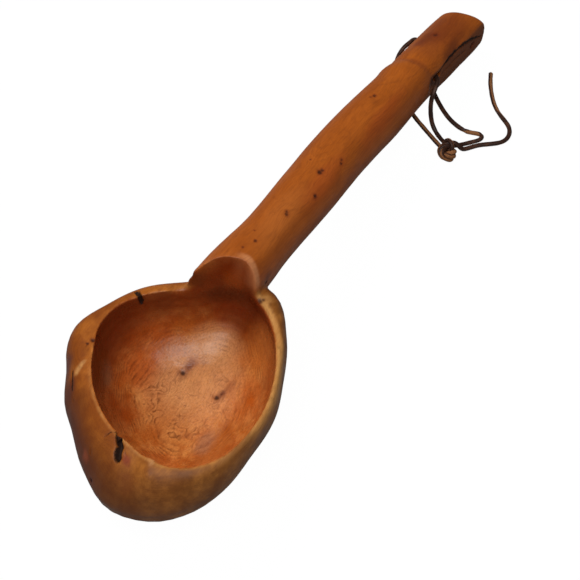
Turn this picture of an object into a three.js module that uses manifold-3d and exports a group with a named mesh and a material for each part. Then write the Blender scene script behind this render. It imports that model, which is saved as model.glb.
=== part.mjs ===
// A carved burl ladle: one piece of wood with a deep round bowl and a thick
// handle, and a leather thong through a hole near the handle's tip.
// Millimetres and degrees. The origin is the middle of the flat under the bowl,
// +X runs along the handle, and +Z is up from the table that the ladle lies on.

import * as THREE from 'three';
import { mergeVertices } from 'three/addons/utils/BufferGeometryUtils.js';
import Module from 'manifold-3d';

const wasm = await Module();
wasm.setup();

// Bowl
const rimHeight = 62;
const rimFall = 0.09;
const floorThickness = 14;
const restRadius = 26;
const hollowFullness = 2.5;
const hollowLean = 0.06;
const hollowAboveRim = 50;
const bearingCount = 80;

// The bowl's rim and wall by bearing, anticlockwise from the handle.
// opening is from the middle to the rim's inner edge, wall is from there out to
// the widest place, and drop is how far that place is below the rim's height at
// the middle. shoulder and under say how full the outside is above and below it,
// where 2 is an ellipse and less is a slope.
const bowlRows = [
  { bearing: 0, opening: 64, wall: 13, drop: 22, shoulder: 2.6, under: 2.1 },
  { bearing: 30, opening: 53, wall: 11.4, drop: 20, shoulder: 2.4, under: 2.1 },
  { bearing: 60, opening: 55, wall: 10.8, drop: 18, shoulder: 2.2, under: 2.1 },
  { bearing: 80, opening: 58, wall: 8.7, drop: 17, shoulder: 2.9, under: 2.1 },
  { bearing: 97, opening: 58, wall: 16.2, drop: 17, shoulder: 3.1, under: 2.1 },
  { bearing: 109, opening: 56, wall: 19, drop: 18, shoulder: 2.9, under: 2.1 },
  { bearing: 121, opening: 55.5, wall: 17.2, drop: 19, shoulder: 2.4, under: 2.1 },
  { bearing: 135, opening: 56, wall: 19, drop: 21, shoulder: 1.9, under: 2.1 },
  { bearing: 150, opening: 57.5, wall: 19, drop: 22, shoulder: 1.7, under: 2.1 },
  { bearing: 167, opening: 60.5, wall: 24.4, drop: 24, shoulder: 1.6, under: 2.1 },
  { bearing: 183, opening: 64, wall: 29.8, drop: 24, shoulder: 1.6, under: 2.3 },
  { bearing: 200, opening: 70.5, wall: 22, drop: 22, shoulder: 1.8, under: 2.4 },
  { bearing: 215, opening: 72, wall: 14.8, drop: 19, shoulder: 2, under: 2.1 },
  { bearing: 230, opening: 69, wall: 9.5, drop: 15, shoulder: 2.4, under: 1.85 },
  { bearing: 250, opening: 62, wall: 5, drop: 13, shoulder: 2.8, under: 1.68 },
  { bearing: 275, opening: 56, wall: 5, drop: 16, shoulder: 3, under: 1.9 },
  { bearing: 300, opening: 54.5, wall: 5, drop: 18, shoulder: 3, under: 2 },
  { bearing: 325, opening: 57.5, wall: 9.5, drop: 19, shoulder: 2.8, under: 2.1 },
  { bearing: 345, opening: 62, wall: 15, drop: 18, shoulder: 2.8, under: 2.1 },
];

// Handle
const handleLength = 286;
const tipHeight = 16.5;
const rootOverlap = 16;
const endRounding = 5;
const endFullness = 3.2;
const endFace = 0.9;
const sectionFullness = 2.2;
const sectionPoints = 36;

// Sections of the handle from its root, where the bowl's hollow cuts it, to its
// tip. share is the place along the length, side is how far the middle lies
// towards +Y, and the rest are the reaches from that middle to each side.
const handleRows = [
  { share: -0.06, side: 8, left: 19.5, right: 19, top: 20, bottom: 34 },
  { share: 0, side: 8, left: 19.5, right: 19, top: 20, bottom: 33 },
  { share: 0.07, side: 7.3, left: 18.8, right: 18.8, top: 19.5, bottom: 27 },
  { share: 0.15, side: 6.2, left: 17.6, right: 17.6, top: 19, bottom: 21 },
  { share: 0.3, side: 5.8, left: 18.7, right: 18.7, top: 19, bottom: 19.5 },
  { share: 0.45, side: 5.8, left: 18.7, right: 18.7, top: 19.5, bottom: 19.5 },
  { share: 0.6, side: 3, left: 19.1, right: 18.2, top: 19.5, bottom: 19.5 },
  { share: 0.67, side: 1.7, left: 18.5, right: 17, top: 19, bottom: 19 },
  { share: 0.75, side: 0.2, left: 18.2, right: 16, top: 18.8, bottom: 18.8 },
  { share: 0.82, side: -1.4, left: 18.4, right: 16.6, top: 18.2, bottom: 18.2 },
  { share: 0.89, side: -2.6, left: 17.9, right: 17.2, top: 17.4, bottom: 17.4 },
  { share: 0.96, side: -3.2, left: 16.9, right: 17.8, top: 16.5, bottom: 18.6 },
  { share: 1, side: -3.4, left: 15.7, right: 17.8, top: 16, bottom: 18 },
];
const endSkew = -0.27;
const skewStart = 0.9;

// The flat on the right of the tip
const facetLength = 72;
const facetDepth = 14.4;
const facetTurn = -3.4;

// Hole for the thong
const boreClearance = 3;
const boreFromTip = 50;
const boreRise = 4.2;
const boreSide = -2.4;
const boreTurn = 48.3;
const boreFall = 7.7;
const boreSides = 20;

// Thong
const thongDiameter = 3;
const thongSides = 8;
const thongStep = 4;
const faceGap = 0.3;
const lieGap = 0.1;
const knotReach = [8, 7.6, 4.8];
const knotBehindBore = 41.6;
const knotRight = 43.2;
const knotLift = 0.2;
const knotTurn = -40;

const mergeDistance = 1e-4;

const rootX = bowlRows[0].opening;
const tipX = rootX + handleLength;
const boreX = tipX - boreFromTip;
const boreHeight = handleMiddle(1 - boreFromTip / handleLength) + boreRise;
const lieHeight = thongDiameter / 2 + lieGap;
const knotCentre = [boreX - knotBehindBore, -knotRight, knotReach[2] + knotLift];

// Routes of the thong, as distances from the hole's middle along X, then Y and Z.
const strandRoute = [
  [-0.1, -2.5, boreHeight],
  [-6, -9.2, 29.9],
  [-11.2, -15, 31],
  [-14, -17.3, 31.5],
  [-18.4, -18.2, 30.6],
  [-22.8, -18.7, 28],
  [-25.4, -19.1, 22.8],
  [-26.6, -19.9, 16],
  [-27.4, -21.1, 10],
  [-29.2, -23.4, 5.4],
  [-31.8, -27.4, 2.8],
  [-34.6, -32.4, 2.2],
  [-36.8, -36.2, 3],
  [-39.2, -40.6, 4.6],
];
const loopRoute = [
  [0.1, -2.3, boreHeight],
  [6, 4.3, 27.5],
  [11, 10, 26.4],
  [14.4, 14, 25.7],
  [15.2, 16, 25.4],
  [13.8, 17.4, 25.2],
  [10.8, 17.9, 25],
  [6.2, 19.6, 24],
  [2, 20.6, 21.6],
  [-0.6, 21, 18.4],
  [-2, 21.3, 14.4],
  [-2.8, 21, 9.8],
  [-5, 18.4, 4.9],
  [-10, 12.8, 2.2],
  [-16, 6, lieHeight],
  [-23.6, -2.2, lieHeight],
  [-28.8, -10.6, lieHeight],
  [-32.2, -17.6, lieHeight],
  [-35.6, -24.8, lieHeight],
  [-39.3, -32.3, 2.2],
  [-41.6, -36.8, 3.2],
  [-43.6, -40.8, 4.4],
];
const longTailRoute = [
  [-41.4, -44.4, 4],
  [-38.6, -48.4, 3],
  [-34.6, -51.8, 2],
  [-30, -55.2, lieHeight],
  [-25.8, -58.8, lieHeight],
  [-22.4, -63.1, lieHeight],
  [-18.8, -67.6, lieHeight],
  [-15.4, -70.9, lieHeight],
  [-11.2, -72.6, lieHeight],
  [-6, -72, lieHeight],
  [-1.4, -69, lieHeight],
  [1.8, -63.9, lieHeight],
  [5.4, -57.4, lieHeight],
  [10.6, -51.1, lieHeight],
  [17.6, -45.3, lieHeight],
  [25.4, -40.2, lieHeight],
  [33.2, -36.3, lieHeight],
];
const shortTailRoute = [
  [-39, -42.6, 4.6],
  [-35.4, -46, 3.4],
  [-31.4, -49, 2],
  [-27.4, -52.2, lieHeight],
  [-23.6, -55.6, lieHeight],
  [-20.3, -57.8, 1.8],
  [-17.6, -56.6, 1.8],
  [-17.7, -53.2, lieHeight],
  [-19.4, -49.2, lieHeight],
  [-20.2, -44.2, lieHeight],
  [-19.4, -38.2, lieHeight],
  [-17.2, -31.4, lieHeight],
  [-13.6, -24.7, lieHeight],
  [-9.2, -18.3, lieHeight],
  [-5, -13, lieHeight],
  [-1.2, -8.6, lieHeight],
  [3, -3.5, lieHeight],
];

// A smooth curve through one column of a list of rows. With a period it closes
// on itself, and otherwise it ends at the first and last rows.
function curveThrough(rows, place, key, period = 0) {
  const count = rows.length;

  function rowAt(index) {
    if (!period) {
      const row = rows[Math.min(Math.max(index, 0), count - 1)];
      return { t: row[place], value: row[key] };
    }
    const turns = Math.floor(index / count);
    const row = rows[index - turns * count];
    return { t: row[place] + turns * period, value: row[key] };
  }

  function slopeAt(index) {
    const before = rowAt(index - 1);
    const after = rowAt(index + 1);
    return (after.value - before.value) / (after.t - before.t);
  }

  return (t) => {
    let index = 0;
    const last = period ? count - 1 : count - 2;
    while (index < last && t >= rowAt(index + 1).t) index += 1;
    const a = rowAt(index);
    const b = rowAt(index + 1);
    const span = b.t - a.t;
    const u = (t - a.t) / span;
    const towardsB = u * u * (3 - 2 * u);
    const leaveA = u * (1 - u) * (1 - u) * span * slopeAt(index);
    const reachB = u * u * (1 - u) * span * slopeAt(index + 1);
    return a.value + (b.value - a.value) * towardsB + leaveA - reachB;
  };
}

// A closed skin over a stack of rings with the same number of points, with a
// fan at each end. The rings run anticlockwise round the way that they climb.
function skinOver(rings) {
  const perRing = rings[0].length;
  const positions = [];
  const triangles = [];
  for (const ring of rings) {
    for (const point of ring) positions.push(point.x, point.y, point.z);
  }

  function addCentre(ring) {
    const middle = new THREE.Vector3();
    for (const point of ring) middle.add(point);
    middle.divideScalar(perRing);
    positions.push(middle.x, middle.y, middle.z);
    return positions.length / 3 - 1;
  }

  for (let i = 0; i + 1 < rings.length; i += 1) {
    for (let j = 0; j < perRing; j += 1) {
      const a = i * perRing + j;
      const b = i * perRing + (j + 1) % perRing;
      triangles.push(a, b, b + perRing, a, b + perRing, a + perRing);
    }
  }
  const bottom = addCentre(rings[0]);
  const top = addCentre(rings[rings.length - 1]);
  const topStart = (rings.length - 1) * perRing;
  for (let j = 0; j < perRing; j += 1) {
    const next = (j + 1) % perRing;
    triangles.push(bottom, next, j);
    triangles.push(top, topStart + j, topStart + next);
  }
  const geometry = new THREE.BufferGeometry();
  geometry.setAttribute('position', new THREE.Float32BufferAttribute(positions, 3));
  geometry.setIndex(triangles);
  return geometry;
}

function solidFrom(geometry) {
  return new wasm.Manifold(new wasm.Mesh({
    numProp: 3,
    vertProperties: new Float32Array(geometry.attributes.position.array),
    triVerts: new Uint32Array(geometry.index.array),
  }));
}

function geometryFrom(solid) {
  const mesh = solid.getMesh();
  const geometry = new THREE.BufferGeometry();
  geometry.setAttribute('position', new THREE.BufferAttribute(mesh.vertProperties, 3));
  geometry.setIndex(new THREE.BufferAttribute(mesh.triVerts, 1));
  geometry.computeVertexNormals();
  return geometry;
}

// Share of the reach that is left at a share of the rise, on a superellipse
function superellipse(share, fullness) {
  return Math.pow(Math.max(0, 1 - Math.pow(share, fullness)), 1 / fullness);
}

const openingAt = curveThrough(bowlRows, 'bearing', 'opening', 360);
const wallAt = curveThrough(bowlRows, 'bearing', 'wall', 360);
const dropAt = curveThrough(bowlRows, 'bearing', 'drop', 360);
const shoulderAt = curveThrough(bowlRows, 'bearing', 'shoulder', 360);
const underAt = curveThrough(bowlRows, 'bearing', 'under', 360);

function rimAt(bearing) {
  const x = openingAt(bearing) * Math.cos(THREE.MathUtils.degToRad(bearing));
  return rimHeight - rimFall * x;
}

function widestAt(bearing) {
  return rimHeight - dropAt(bearing);
}

function ringOf(radiusAndHeight) {
  const ring = [];
  for (let i = 0; i < bearingCount; i += 1) {
    const bearing = 360 * i / bearingCount;
    const angle = THREE.MathUtils.degToRad(bearing);
    const [radius, height] = radiusAndHeight(bearing);
    ring.push(new THREE.Vector3(radius * Math.cos(angle), radius * Math.sin(angle), height));
  }
  return ring;
}

function bowlOutside() {
  const lowerSteps = 9;
  const upperSteps = 9;
  const rings = [];
  for (let i = 0; i <= lowerSteps; i += 1) {
    const turn = Math.PI / 2 * i / lowerSteps;
    rings.push(ringOf((bearing) => {
      const reach = openingAt(bearing) + wallAt(bearing) - restRadius;
      const power = 2 / underAt(bearing);
      const out = Math.pow(Math.sin(turn), power);
      const rise = 1 - Math.pow(Math.cos(turn), power);
      return [restRadius + reach * out, widestAt(bearing) * rise];
    }));
  }
  for (let i = 1; i <= upperSteps; i += 1) {
    const turn = Math.PI / 2 * i / upperSteps;
    rings.push(ringOf((bearing) => {
      const power = 2 / shoulderAt(bearing);
      const out = wallAt(bearing) * Math.pow(Math.cos(turn), power);
      const rise = (rimAt(bearing) - widestAt(bearing)) * Math.pow(Math.sin(turn), power);
      return [openingAt(bearing) + out, widestAt(bearing) + rise];
    }));
  }
  return solidFrom(skinOver(rings));
}

// The hollow, which runs on above the rim, where it cuts the handle's root
function bowlHollow() {
  const depthSteps = 11;
  const rings = [];
  for (let i = 1; i <= depthSteps; i += 1) {
    const out = Math.sin(Math.PI / 2 * i / depthSteps);
    rings.push(ringOf((bearing) => {
      const depth = rimAt(bearing) - floorThickness;
      const rise = 1 - superellipse(out, hollowFullness);
      return [openingAt(bearing) * out, floorThickness + depth * rise];
    }));
  }
  rings.push(ringOf((bearing) => [
    openingAt(bearing) + hollowLean * hollowAboveRim,
    rimAt(bearing) + hollowAboveRim,
  ]));
  return solidFrom(skinOver(rings));
}

// Height of the handle's middle, on a straight line from root to tip
function handleMiddle(share) {
  return THREE.MathUtils.lerp(rimHeight, tipHeight, share);
}

function signedPower(value, power) {
  return Math.sign(value) * Math.pow(Math.abs(value), power);
}

function handleSection(share, scale) {
  const value = (key) => curveThrough(handleRows, 'share', key)(share);
  const middle = handleMiddle(share);
  const skew = endSkew * THREE.MathUtils.smoothstep(share, skewStart, 1);
  const ring = [];
  for (let i = 0; i < sectionPoints; i += 1) {
    const angle = 2 * Math.PI * i / sectionPoints;
    const across = signedPower(Math.cos(angle), 2 / sectionFullness);
    const rise = signedPower(Math.sin(angle), 2 / sectionFullness);
    const y = scale * across * (across > 0 ? value('left') : value('right'));
    const z = scale * rise * (rise > 0 ? value('top') : value('bottom'));
    const x = rootX + share * handleLength + skew * y;
    ring.push(new THREE.Vector3(x, value('side') + y, middle + z));
  }
  return ring;
}

function handleBar() {
  const steps = 30;
  const roundingSteps = 5;
  const rings = [];
  const start = -rootOverlap / handleLength;
  const roundingStart = 1 - endRounding / handleLength;
  for (let i = 0; i <= steps; i += 1) {
    rings.push(handleSection(THREE.MathUtils.lerp(start, roundingStart, i / steps), 1));
  }
  for (let i = 1; i <= roundingSteps; i += 1) {
    const out = i / roundingSteps;
    const share = THREE.MathUtils.lerp(roundingStart, 1, out);
    rings.push(handleSection(share, superellipse(endFace * out, endFullness)));
  }
  return solidFrom(skinOver(rings));
}

// A closed solid from one of three.js's own shapes, turned and then moved
function solidFromShape(geometry, move, turnAboutZ, turnAboutX = 0) {
  geometry.deleteAttribute('normal');
  geometry.deleteAttribute('uv');
  const merged = mergeVertices(geometry, mergeDistance);
  merged.rotateX(THREE.MathUtils.degToRad(turnAboutX));
  merged.rotateZ(THREE.MathUtils.degToRad(turnAboutZ));
  merged.translate(...move);
  return solidFrom(merged);
}

function bore() {
  const length = 80;
  const radius = (thongDiameter + boreClearance) / 2;
  const geometry = new THREE.CylinderGeometry(radius, radius, length, boreSides);
  return solidFromShape(geometry, [boreX, boreSide, boreHeight], boreTurn - 90, -boreFall);
}

// What is cut off the right of the tip, where the wood is split to a flat
function facetCut() {
  const length = 120;
  const depth = 40;
  const height = 120;
  const geometry = new THREE.BoxGeometry(length, depth, height);
  geometry.translate(length / 2, -depth / 2 - facetDepth, 0);
  const move = [tipX - facetLength, 0, handleMiddle(1 - facetLength / handleLength)];
  return solidFromShape(geometry, move, facetTurn);
}

// Everything below the table's surface, so that the ladle rests on true flats
function belowTable() {
  const size = 1200;
  const geometry = new THREE.BoxGeometry(size, size, size);
  return solidFromShape(geometry, [0, 0, -size / 2], 0);
}

function ladleGeometry() {
  const bar = handleBar().subtract(facetCut());
  const outside = bowlOutside().add(bar);
  const carved = outside.subtract(bowlHollow()).subtract(bore());
  return geometryFrom(carved.subtract(belowTable()));
}

function knotShape(margin) {
  const geometry = new THREE.SphereGeometry(1, 16, 10);
  geometry.scale(...knotReach.map((reach) => reach + margin));
  return solidFromShape(geometry, knotCentre, knotTurn);
}

// A thong's free stretch as a tube along its route, outside the knot
function thongGeometry(route) {
  const points = route.map(([x, y, z]) => new THREE.Vector3(boreX + x, y, z));
  const path = new THREE.CatmullRomCurve3(points, false, 'centripetal');
  const section = new THREE.Shape();
  for (let i = 0; i < thongSides; i += 1) {
    const angle = 2 * Math.PI * i / thongSides;
    const x = thongDiameter / 2 * Math.cos(angle);
    const y = thongDiameter / 2 * Math.sin(angle);
    if (i === 0) section.moveTo(x, y);
    else section.lineTo(x, y);
  }
  section.closePath();
  const steps = Math.round(path.getLength() / thongStep);
  const tube = new THREE.ExtrudeGeometry(section, { steps, extrudePath: path });
  const solid = solidFromShape(tube, [0, 0, 0], 0);
  return geometryFrom(solid.subtract(knotShape(faceGap)));
}

const wood = { color: 0xb5682f, roughness: 0.32, metalness: 0 };
const leather = { color: 0x3f2116, roughness: 0.6, metalness: 0 };

function addPiece(group, name, geometry, look) {
  const piece = new THREE.Mesh(geometry, new THREE.MeshStandardMaterial(look));
  piece.name = name;
  group.add(piece);
}

function makeLadle() {
  const ladle = new THREE.Group();
  addPiece(ladle, 'ladle', ladleGeometry(), wood);
  addPiece(ladle, 'thong_right_strand', thongGeometry(strandRoute), leather);
  addPiece(ladle, 'thong_left_strand', thongGeometry(loopRoute), leather);
  addPiece(ladle, 'thong_long_tail', thongGeometry(longTailRoute), leather);
  addPiece(ladle, 'thong_short_tail', thongGeometry(shortTailRoute), leather);
  addPiece(ladle, 'thong_knot', geometryFrom(knotShape(0)), leather);
  return ladle;
}

export default makeLadle();
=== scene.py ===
"""A carved burl ladle with a leather thong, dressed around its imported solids.

Metres. The origin is the middle of the flat under the bowl, +X runs along the
handle to its tip and +Z is up from the table.
"""

import math

import bpy
import numpy as np
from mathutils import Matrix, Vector, noise

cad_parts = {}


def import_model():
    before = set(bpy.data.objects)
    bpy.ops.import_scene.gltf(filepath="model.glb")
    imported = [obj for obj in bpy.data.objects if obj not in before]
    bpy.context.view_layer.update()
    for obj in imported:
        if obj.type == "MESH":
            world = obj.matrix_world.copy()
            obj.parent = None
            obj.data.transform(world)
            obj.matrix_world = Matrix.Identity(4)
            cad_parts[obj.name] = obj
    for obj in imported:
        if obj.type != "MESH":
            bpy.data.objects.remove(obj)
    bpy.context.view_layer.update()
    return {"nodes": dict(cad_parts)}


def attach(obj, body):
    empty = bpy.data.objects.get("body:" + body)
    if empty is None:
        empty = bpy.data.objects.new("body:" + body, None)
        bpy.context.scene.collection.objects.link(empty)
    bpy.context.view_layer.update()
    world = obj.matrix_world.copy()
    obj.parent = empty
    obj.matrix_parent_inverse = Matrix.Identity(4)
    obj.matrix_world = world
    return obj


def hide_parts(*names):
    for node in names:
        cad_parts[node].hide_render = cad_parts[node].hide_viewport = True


MM = 0.001

# Camera, at the photograph's place
CAMERA_AT = (-0.4023, -0.3207, 0.9957)
CAMERA_DOWN = math.radians(59)
CAMERA_TURN = math.radians(31.5)
CAMERA_LENS = 110
CAMERA_SENSOR = 36

# Studio. Each lamp has a name, a place, a size, its watts, and whether it shows in the gloss
LAMP_AIM = (0.12, 0, 0.03)
LAMPS = [
    ("overhead", (-0.40, -0.20, 1.26), 0.86, 12, True),
    ("key", (0.46, 0.84, 1.04), 0.80, 12, False),
]
WORLD_FILL = 0.10
FLOOR_REACH = 3
FLOOR_DROP = 0.0002
FLOOR_COLOUR = (0.27, 0.27, 0.27, 1)
FLOOR_ROUGHNESS = 0.9
FLOOR_SHOWN = 0.92
FLOOR_WHITE = 1.07
FLOOR_MIRRORED = 0.10

# Thong
LACE = 0.003
LIE = 0.0016
BORE_AT = np.array([0.300, 0, 0])
BORE_HEIGHT = 0.0287
RIGHT_MOUTH = (0.2888, -0.0150, 0.0310)
LEFT_MOUTH = (0.3150, 0.0150, 0.0256)
LINE_STEP = 0.001
TUBE_STEP = 0.0007
ROUTE_PARTS = 12
LACE_CORNERS = 16
LACE_FULLNESS = 2.9
LACE_THICKNESS = 0.91
LACE_TWIST = 0.3
LACE_UNEVEN = 0.05
FLESH_CONTRAST = 2.2
RIGHT_LENGTH = 0.243
LEFT_LENGTH = 0.284

# Routes of the thong, as distances from the hole's middle along X, then Y and Z
RIGHT_STRAND = [
    (-0.0001, -0.0025, BORE_HEIGHT),
    (-0.006, -0.0092, 0.0299),
    (-0.0112, -0.015, 0.031),
    (-0.014, -0.0173, 0.0315),
    (-0.0184, -0.0182, 0.0306),
    (-0.0228, -0.0187, 0.028),
    (-0.0254, -0.0191, 0.0228),
    (-0.0266, -0.0199, 0.016),
    (-0.0274, -0.0211, 0.010),
    (-0.0292, -0.0234, 0.0054),
    (-0.0318, -0.0274, 0.0028),
    (-0.0346, -0.0324, 0.0022),
    (-0.0368, -0.0362, 0.003),
    (-0.0392, -0.0406, 0.0046),
]
LEFT_STRAND = [
    (0.0001, -0.0023, BORE_HEIGHT),
    (0.006, 0.0043, 0.0275),
    (0.011, 0.010, 0.0264),
    (0.0144, 0.014, 0.0257),
    (0.0152, 0.016, 0.0254),
    (0.0138, 0.0174, 0.0252),
    (0.0108, 0.0179, 0.025),
    (0.0062, 0.0196, 0.024),
    (0.002, 0.0206, 0.0216),
    (-0.0006, 0.021, 0.0184),
    (-0.002, 0.0213, 0.0144),
    (-0.0028, 0.021, 0.0098),
    (-0.005, 0.0184, 0.0049),
    (-0.010, 0.0128, 0.0022),
    (-0.016, 0.006, LIE),
    (-0.0236, -0.0022, LIE),
    (-0.0288, -0.0106, LIE),
    (-0.0322, -0.0176, LIE),
    (-0.0356, -0.0248, LIE),
    (-0.0393, -0.0323, 0.0022),
    (-0.0416, -0.0368, 0.0032),
    (-0.0436, -0.0408, 0.0044),
]
LONG_TAIL = [
    (-0.0414, -0.0444, 0.004),
    (-0.0386, -0.0484, 0.003),
    (-0.0346, -0.0518, 0.002),
    (-0.030, -0.0552, LIE),
    (-0.0258, -0.0588, LIE),
    (-0.0224, -0.0631, LIE),
    (-0.0188, -0.0676, LIE),
    (-0.0154, -0.0709, LIE),
    (-0.0112, -0.0726, LIE),
    (-0.006, -0.072, LIE),
    (-0.0014, -0.069, LIE),
    (0.0018, -0.0639, LIE),
    (0.0054, -0.0574, LIE),
    (0.0106, -0.0511, LIE),
    (0.0176, -0.0453, LIE),
    (0.0254, -0.0402, LIE),
    (0.0332, -0.0363, LIE),
]
SHORT_TAIL = [
    (-0.039, -0.0426, 0.0046),
    (-0.0354, -0.046, 0.0034),
    (-0.0314, -0.049, 0.002),
    (-0.0274, -0.0522, LIE),
    (-0.0236, -0.0556, LIE),
    (-0.0203, -0.0578, 0.0018),
    (-0.0176, -0.0566, 0.0018),
    (-0.0177, -0.0532, LIE),
    (-0.0194, -0.0492, LIE),
    (-0.0202, -0.0442, LIE),
    (-0.0194, -0.0382, LIE),
    (-0.0172, -0.0314, LIE),
    (-0.0136, -0.0247, LIE),
    (-0.0092, -0.0183, LIE),
    (-0.005, -0.013, LIE),
    (-0.0012, -0.0086, LIE),
    (0.003, -0.0035, LIE),
]

# How far each lace is turned, in degrees by share of its length. At 180 its flesh side is up
RIGHT_TURNS = [(0, 0), (0.25, 20), (0.42, 60), (0.5, 140), (0.56, 20), (0.8, -40), (0.87, -130), (1, -130)]
LEFT_TURNS = [
    (0, 0), (0.2, 60), (0.32, 140), (0.44, 150), (0.5, 60),
    (0.785, 20), (0.80, 130), (0.82, 130), (0.84, 20), (1, 0),
]

# Knot, wound as a ring of tube before it is drawn tight
KNOT_AT = np.array([0.2551, -0.0438, 0.0049])
KNOT_REACH = 0.0115
RING_RADIUS = 0.0043
RING_TUBE = 0.0023
RING_START = math.radians(330)
RING_TURN = math.radians(640)
RING_POINTS = 90
KNOT_ROUNDS = 150
KNOT_TENSION = 0.12
KNOT_GAP = 0.9 * LACE
PUSHES = 4
EASING_PASSES = 6
HELD = 3

# Bowl's opening, from its middle to the rim's inner edge by bearing, in mm
OPENING = [
    (0, 64), (30, 53), (60, 55), (80, 58), (97, 58), (109, 56), (121, 55.5), (135, 56),
    (150, 57.5), (167, 60.5), (183, 64), (200, 70.5), (215, 72), (230, 69), (250, 62),
    (275, 56), (300, 54.5), (325, 57.5), (345, 62), (360, 64),
]
RIM_HEIGHT = 62
RIM_FALL = 0.09
HOLLOW_LEAN = 0.06

# Handle, whose grain falls with it, in mm. The scoop fades in over a stretch of X
ROOT_X = 64
GRAIN_FALL = 0.157
GRAIN_START_X = 50
SCOOP_FROM = (35, 45)
FACET_X = 278
FACET_Y = -14.4
FACET_SLOPE = 0.0594
GROOVE_HEIGHTS = [(304, 34), (316, 33), (324, 31), (334, 26), (348, 16), (356, 12)]

# Soft step where the handle narrows to its tip, in mm
SHOULDER_X = 283.5
SHOULDER_CURVE = 0.012
SHOULDER_SIDE = -6
SHOULDER_STEP = 0.7
CREASE_DEPTH = 0.55
CREASE_REACH = 3.4
SWELL_HEIGHT = 0.6
SWELL_BEFORE = 10
SWELL_REACH = 6.5

# Thickness of a growth layer, and the middle of the hollow's most ringed side, in mm
LAYER = 1.25
RINGED_AT = np.array([-34, 16, 24])

# Wood skin. The voxel is in metres, the rest in mm
VOXEL = 0.0009
ROUND_PASSES = 5
SMOOTH_PASSES = 80
ARCH_PASSES = 60
FOOT_PASSES = 110
LIP_PASSES = 50
SPREAD_PASSES = 80
RIM_CRISPNESS = 0.85
TIP_CRISPNESS = 0.6
SCOOP_TOP = 20
SCOOP_FLARE = 4
FOOT_AT = np.array([49, 27, 65])
FOOT_PUSH = np.array([-1.2, 2.3, 0])
FOOT_LOW = np.array([46, 29, 62])
FOOT_SPREAD = np.array([-1.8, 3.2, 0])

# What the knife and the split left: the lumps' size, their height and their seed, in mm
WAVES = (42, 0.40, 1)
RIPPLES = (15, 0.13, 2)
TOOL_MARKS = [(8, 0.13, 3), (3.5, 0.05, 8)]
SPLINTERS = [((22, 4, 4), 0.30, 4), ((7, 2, 2), 0.12, 5)]
HANDLE_CALM = 0.5
HOLLOW_CALM = 0.6

# Knots in the wood: middle, reach of the dark core, reach of the reddish halo, and pit depth, in mm
KNOTS = [
    ((13, 12.6, 15.3), 1.9, 6.0, 0.5),
    ((17.5, 11.8, 15.9), 0.6, 4.0, 0.0),
    ((9.3, -15, 15.2), 1.7, 5.0, 0.5),
    ((12.8, -16.2, 15.8), 0.7, 4.0, 0.1),
    ((159, 1, 65.5), 1.8, 3.6, 0.5),
    ((161.2, 0.5, 65), 1.3, 3.2, 0.4),
    ((175.2, -5.6, 60.2), 1.0, 2.6, 0.4),
    ((177.6, -4.4, 60.6), 0.9, 2.6, 0.4),
    ((142.1, -6, 64.9), 1.4, 2.8, 0.5),
    ((141, -6.6, 65), 0.9, 2.4, 0.3),
    ((117, 0, 71.6), 1.3, 3.2, 0.3),
    ((118.6, 1, 71.4), 1.0, 2.8, 0.3),
    ((87, 4, 77.5), 1.2, 2.2, 0.3),
    ((238, 6, 53.6), 1.3, 2.8, 0.4),
    ((235.6, 7.4, 54), 0.7, 2.2, 0.2),
    ((165, 11.5, 64.4), 0.6, 1.6, 0.1),
    ((78, 7.5, 79.4), 0.7, 1.8, 0.1),
    ((94, 9, 76.3), 0.6, 1.6, 0.1),
    ((74.7, -11.4, 58.6), 1.6, 2.6, 0.5),
    ((62.5, -14, 56.5), 1.9, 3.0, 0.5),
    ((61, -12.4, 56), 1.1, 2.4, 0.3),
    ((64.4, -15.6, 56.4), 1.0, 2.2, 0.3),
    ((315.9, 1.7, 39.1), 1.9, 4.6, 0.5),
    ((336.5, -18, 18), 3.0, 5.0, 2.2),
    ((-17.2, 54.8, 63.5), 1.4, 2.6, 0.6),
    ((-20.8, 56.2, 63.6), 1.1, 2.2, 0.4),
    ((-87, 10, 43.1), 1.7, 3.0, 0.6),
]

# Cracks and grooves: from, to, half width and depth, in mm
CRACKS = [
    ((27.6, 54, 60.6), (25.4, 49.6, 59), 1.5, 2.2),
    ((25.4, 49.6, 59), (25, 48.6, 52), 1.3, 1.8),
    ((-22, 56, 63.6), (-27, 55.4, 63.6), 0.4, 0.2),
    ((-27, 55.4, 63.6), (-32.2, 53.6, 63.4), 0.35, 0.2),
    ((-39.7, 53.8, 60.5), (-45, 51, 59.6), 0.9, 0.7),
    ((-45, 51, 59.6), (-49.6, 47, 58.6), 1.0, 0.9),
    ((-49.6, 47, 58.6), (-54, 43.4, 57), 0.7, 0.5),
    ((-67, 11.5, 65), (-63.5, 9.5, 66.4), 0.5, 0.6),
    ((-63.5, 9.5, 66.4), (-61.5, 5.4, 67), 0.5, 0.6),
    ((-76.9, 16.1, 54.7), (-74.4, 17.6, 57.4), 0.6, 0.6),
    ((-70, -5, 66), (-73.5, -9, 65.5), 0.5, 0.4),
    ((290, -15.3, 32.4), (297, -15.4, 34.4), 1.0, 1.1),
    ((297, -15.4, 34.4), (304.5, -15.6, 34.8), 1.0, 1.1),
    ((304.5, -15.6, 34.8), (315.2, -16.2, 33.6), 1.1, 1.2),
    ((315.2, -16.2, 33.6), (323.8, -17, 31.4), 1.1, 1.2),
    ((323.8, -17, 31.4), (334.5, -17.8, 26.2), 1.1, 1.2),
    ((334.5, -17.8, 26.2), (341, -18.1, 21.8), 1.0, 1.1),
    ((341, -18.1, 21.8), (348.5, -18.6, 16), 0.8, 0.8),
    ((296, -15.4, 28), (312, -16.3, 27.2), 0.5, 0.5),
    ((312, -16.3, 27.2), (326, -17.2, 22), 0.5, 0.5),
]

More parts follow.
